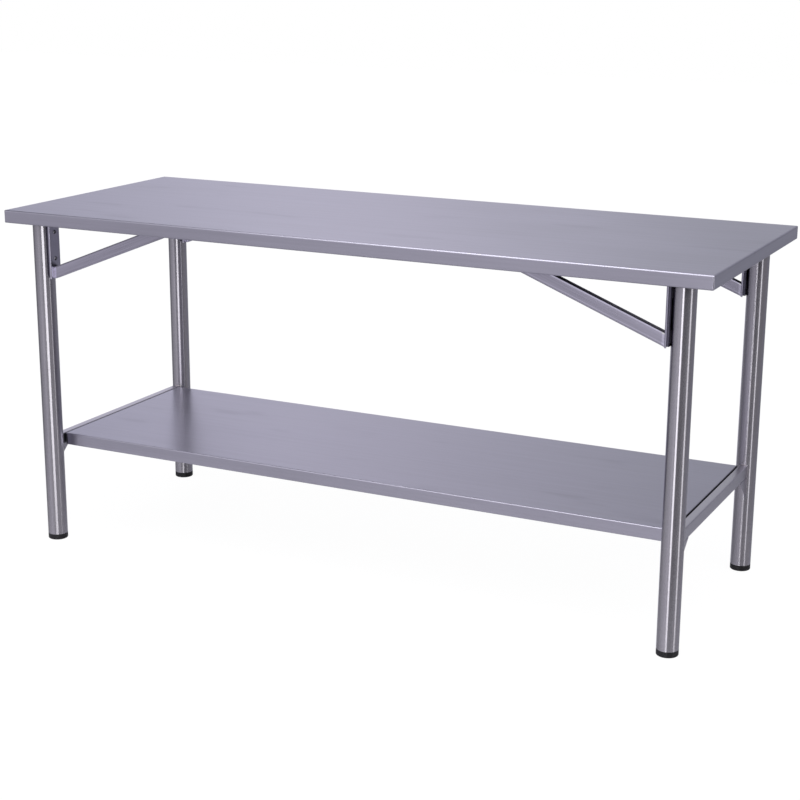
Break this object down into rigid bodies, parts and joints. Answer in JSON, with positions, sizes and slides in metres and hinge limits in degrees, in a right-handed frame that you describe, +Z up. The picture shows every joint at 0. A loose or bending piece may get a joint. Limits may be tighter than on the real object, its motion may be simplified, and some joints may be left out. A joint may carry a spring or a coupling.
{
  "type": "stainless steel work table",
  "caption": "Stainless steel work table with a folded top, round tube legs, triangular corner brackets, a folded undershelf and screw-adjustable feet.",
  "frame": {"origin": "on the floor, below the centre of the worktop", "axes": "+X along the table's length, -Y towards the front, +Z up"},
  "size_m": [1.8, 0.7, 0.86],
  "materials": {
    "top_steel": "stainless sheet with a fine brushed finish",
    "shelf_steel": "stainless sheet with a fine brushed finish",
    "channel_steel": "stainless sheet, mill finish",
    "tube_steel": "stainless tube, ground along its length",
    "bracket_steel": "stainless sheet with a fine brushed finish",
    "fastener_steel": "bright stainless fasteners",
    "foot_plastic": "black moulded plastic"
  },
  "bodies": {
    "table": {"top_panel": "top_steel", "top_channel_front": "channel_steel", "top_channel_rear": "channel_steel", "cross_channels": "channel_steel", "leg_front_left": "tube_steel", "leg_front_right": "tube_steel", "leg_rear_left": "tube_steel", "leg_rear_right": "tube_steel", "leg_caps": "tube_steel", "saddle_front_left": "bracket_steel", "saddle_front_right": "bracket_steel", "saddle_rear_left": "bracket_steel", "saddle_rear_right": "bracket_steel", "upright_front_left": "bracket_steel", "upright_front_right": "bracket_steel", "upright_rear_left": "bracket_steel", "upright_rear_right": "bracket_steel", "brace_front_left": "bracket_steel", "brace_front_right": "bracket_steel", "brace_rear_left": "bracket_steel", "brace_rear_right": "bracket_steel", "bracket_screws": "fastener_steel", "bracket_nuts": "fastener_steel", "end_rail_left": "tube_steel", "end_rail_right": "tube_steel", "gusset_front_left": "tube_steel", "gusset_front_right": "tube_steel", "gusset_rear_left": "tube_steel", "gusset_rear_right": "tube_steel", "shelf_panel": "shelf_steel", "shelf_channel": "channel_steel", "shelf_bolts": "fastener_steel", "shelf_rivet_nuts": "fastener_steel", "insert_front_left": "foot_plastic", "insert_front_right": "foot_plastic", "insert_rear_left": "foot_plastic", "insert_rear_right": "foot_plastic", "insert_nuts": "fastener_steel"},
    "leveller_front_left": {"foot_front_left": "foot_plastic", "stud_front_left": "fastener_steel"},
    "leveller_front_right": {"foot_front_right": "foot_plastic", "stud_front_right": "fastener_steel"},
    "leveller_rear_left": {"foot_rear_left": "foot_plastic", "stud_rear_left": "fastener_steel"},
    "leveller_rear_right": {"foot_rear_right": "foot_plastic", "stud_rear_right": "fastener_steel"}
  },
  "joints": [
    {"name": "level_front_left", "type": "slide", "parent": "table", "child": "leveller_front_left", "axis": [0, 0, -1], "range_m": [0, 0.02]},
    {"name": "level_front_right", "type": "slide", "parent": "table", "child": "leveller_front_right", "axis": [0, 0, -1], "range_m": [0, 0.02]},
    {"name": "level_rear_left", "type": "slide", "parent": "table", "child": "leveller_rear_left", "axis": [0, 0, -1], "range_m": [0, 0.02]},
    {"name": "level_rear_right", "type": "slide", "parent": "table", "child": "leveller_rear_right", "axis": [0, 0, -1], "range_m": [0, 0.02]}
  ]
}
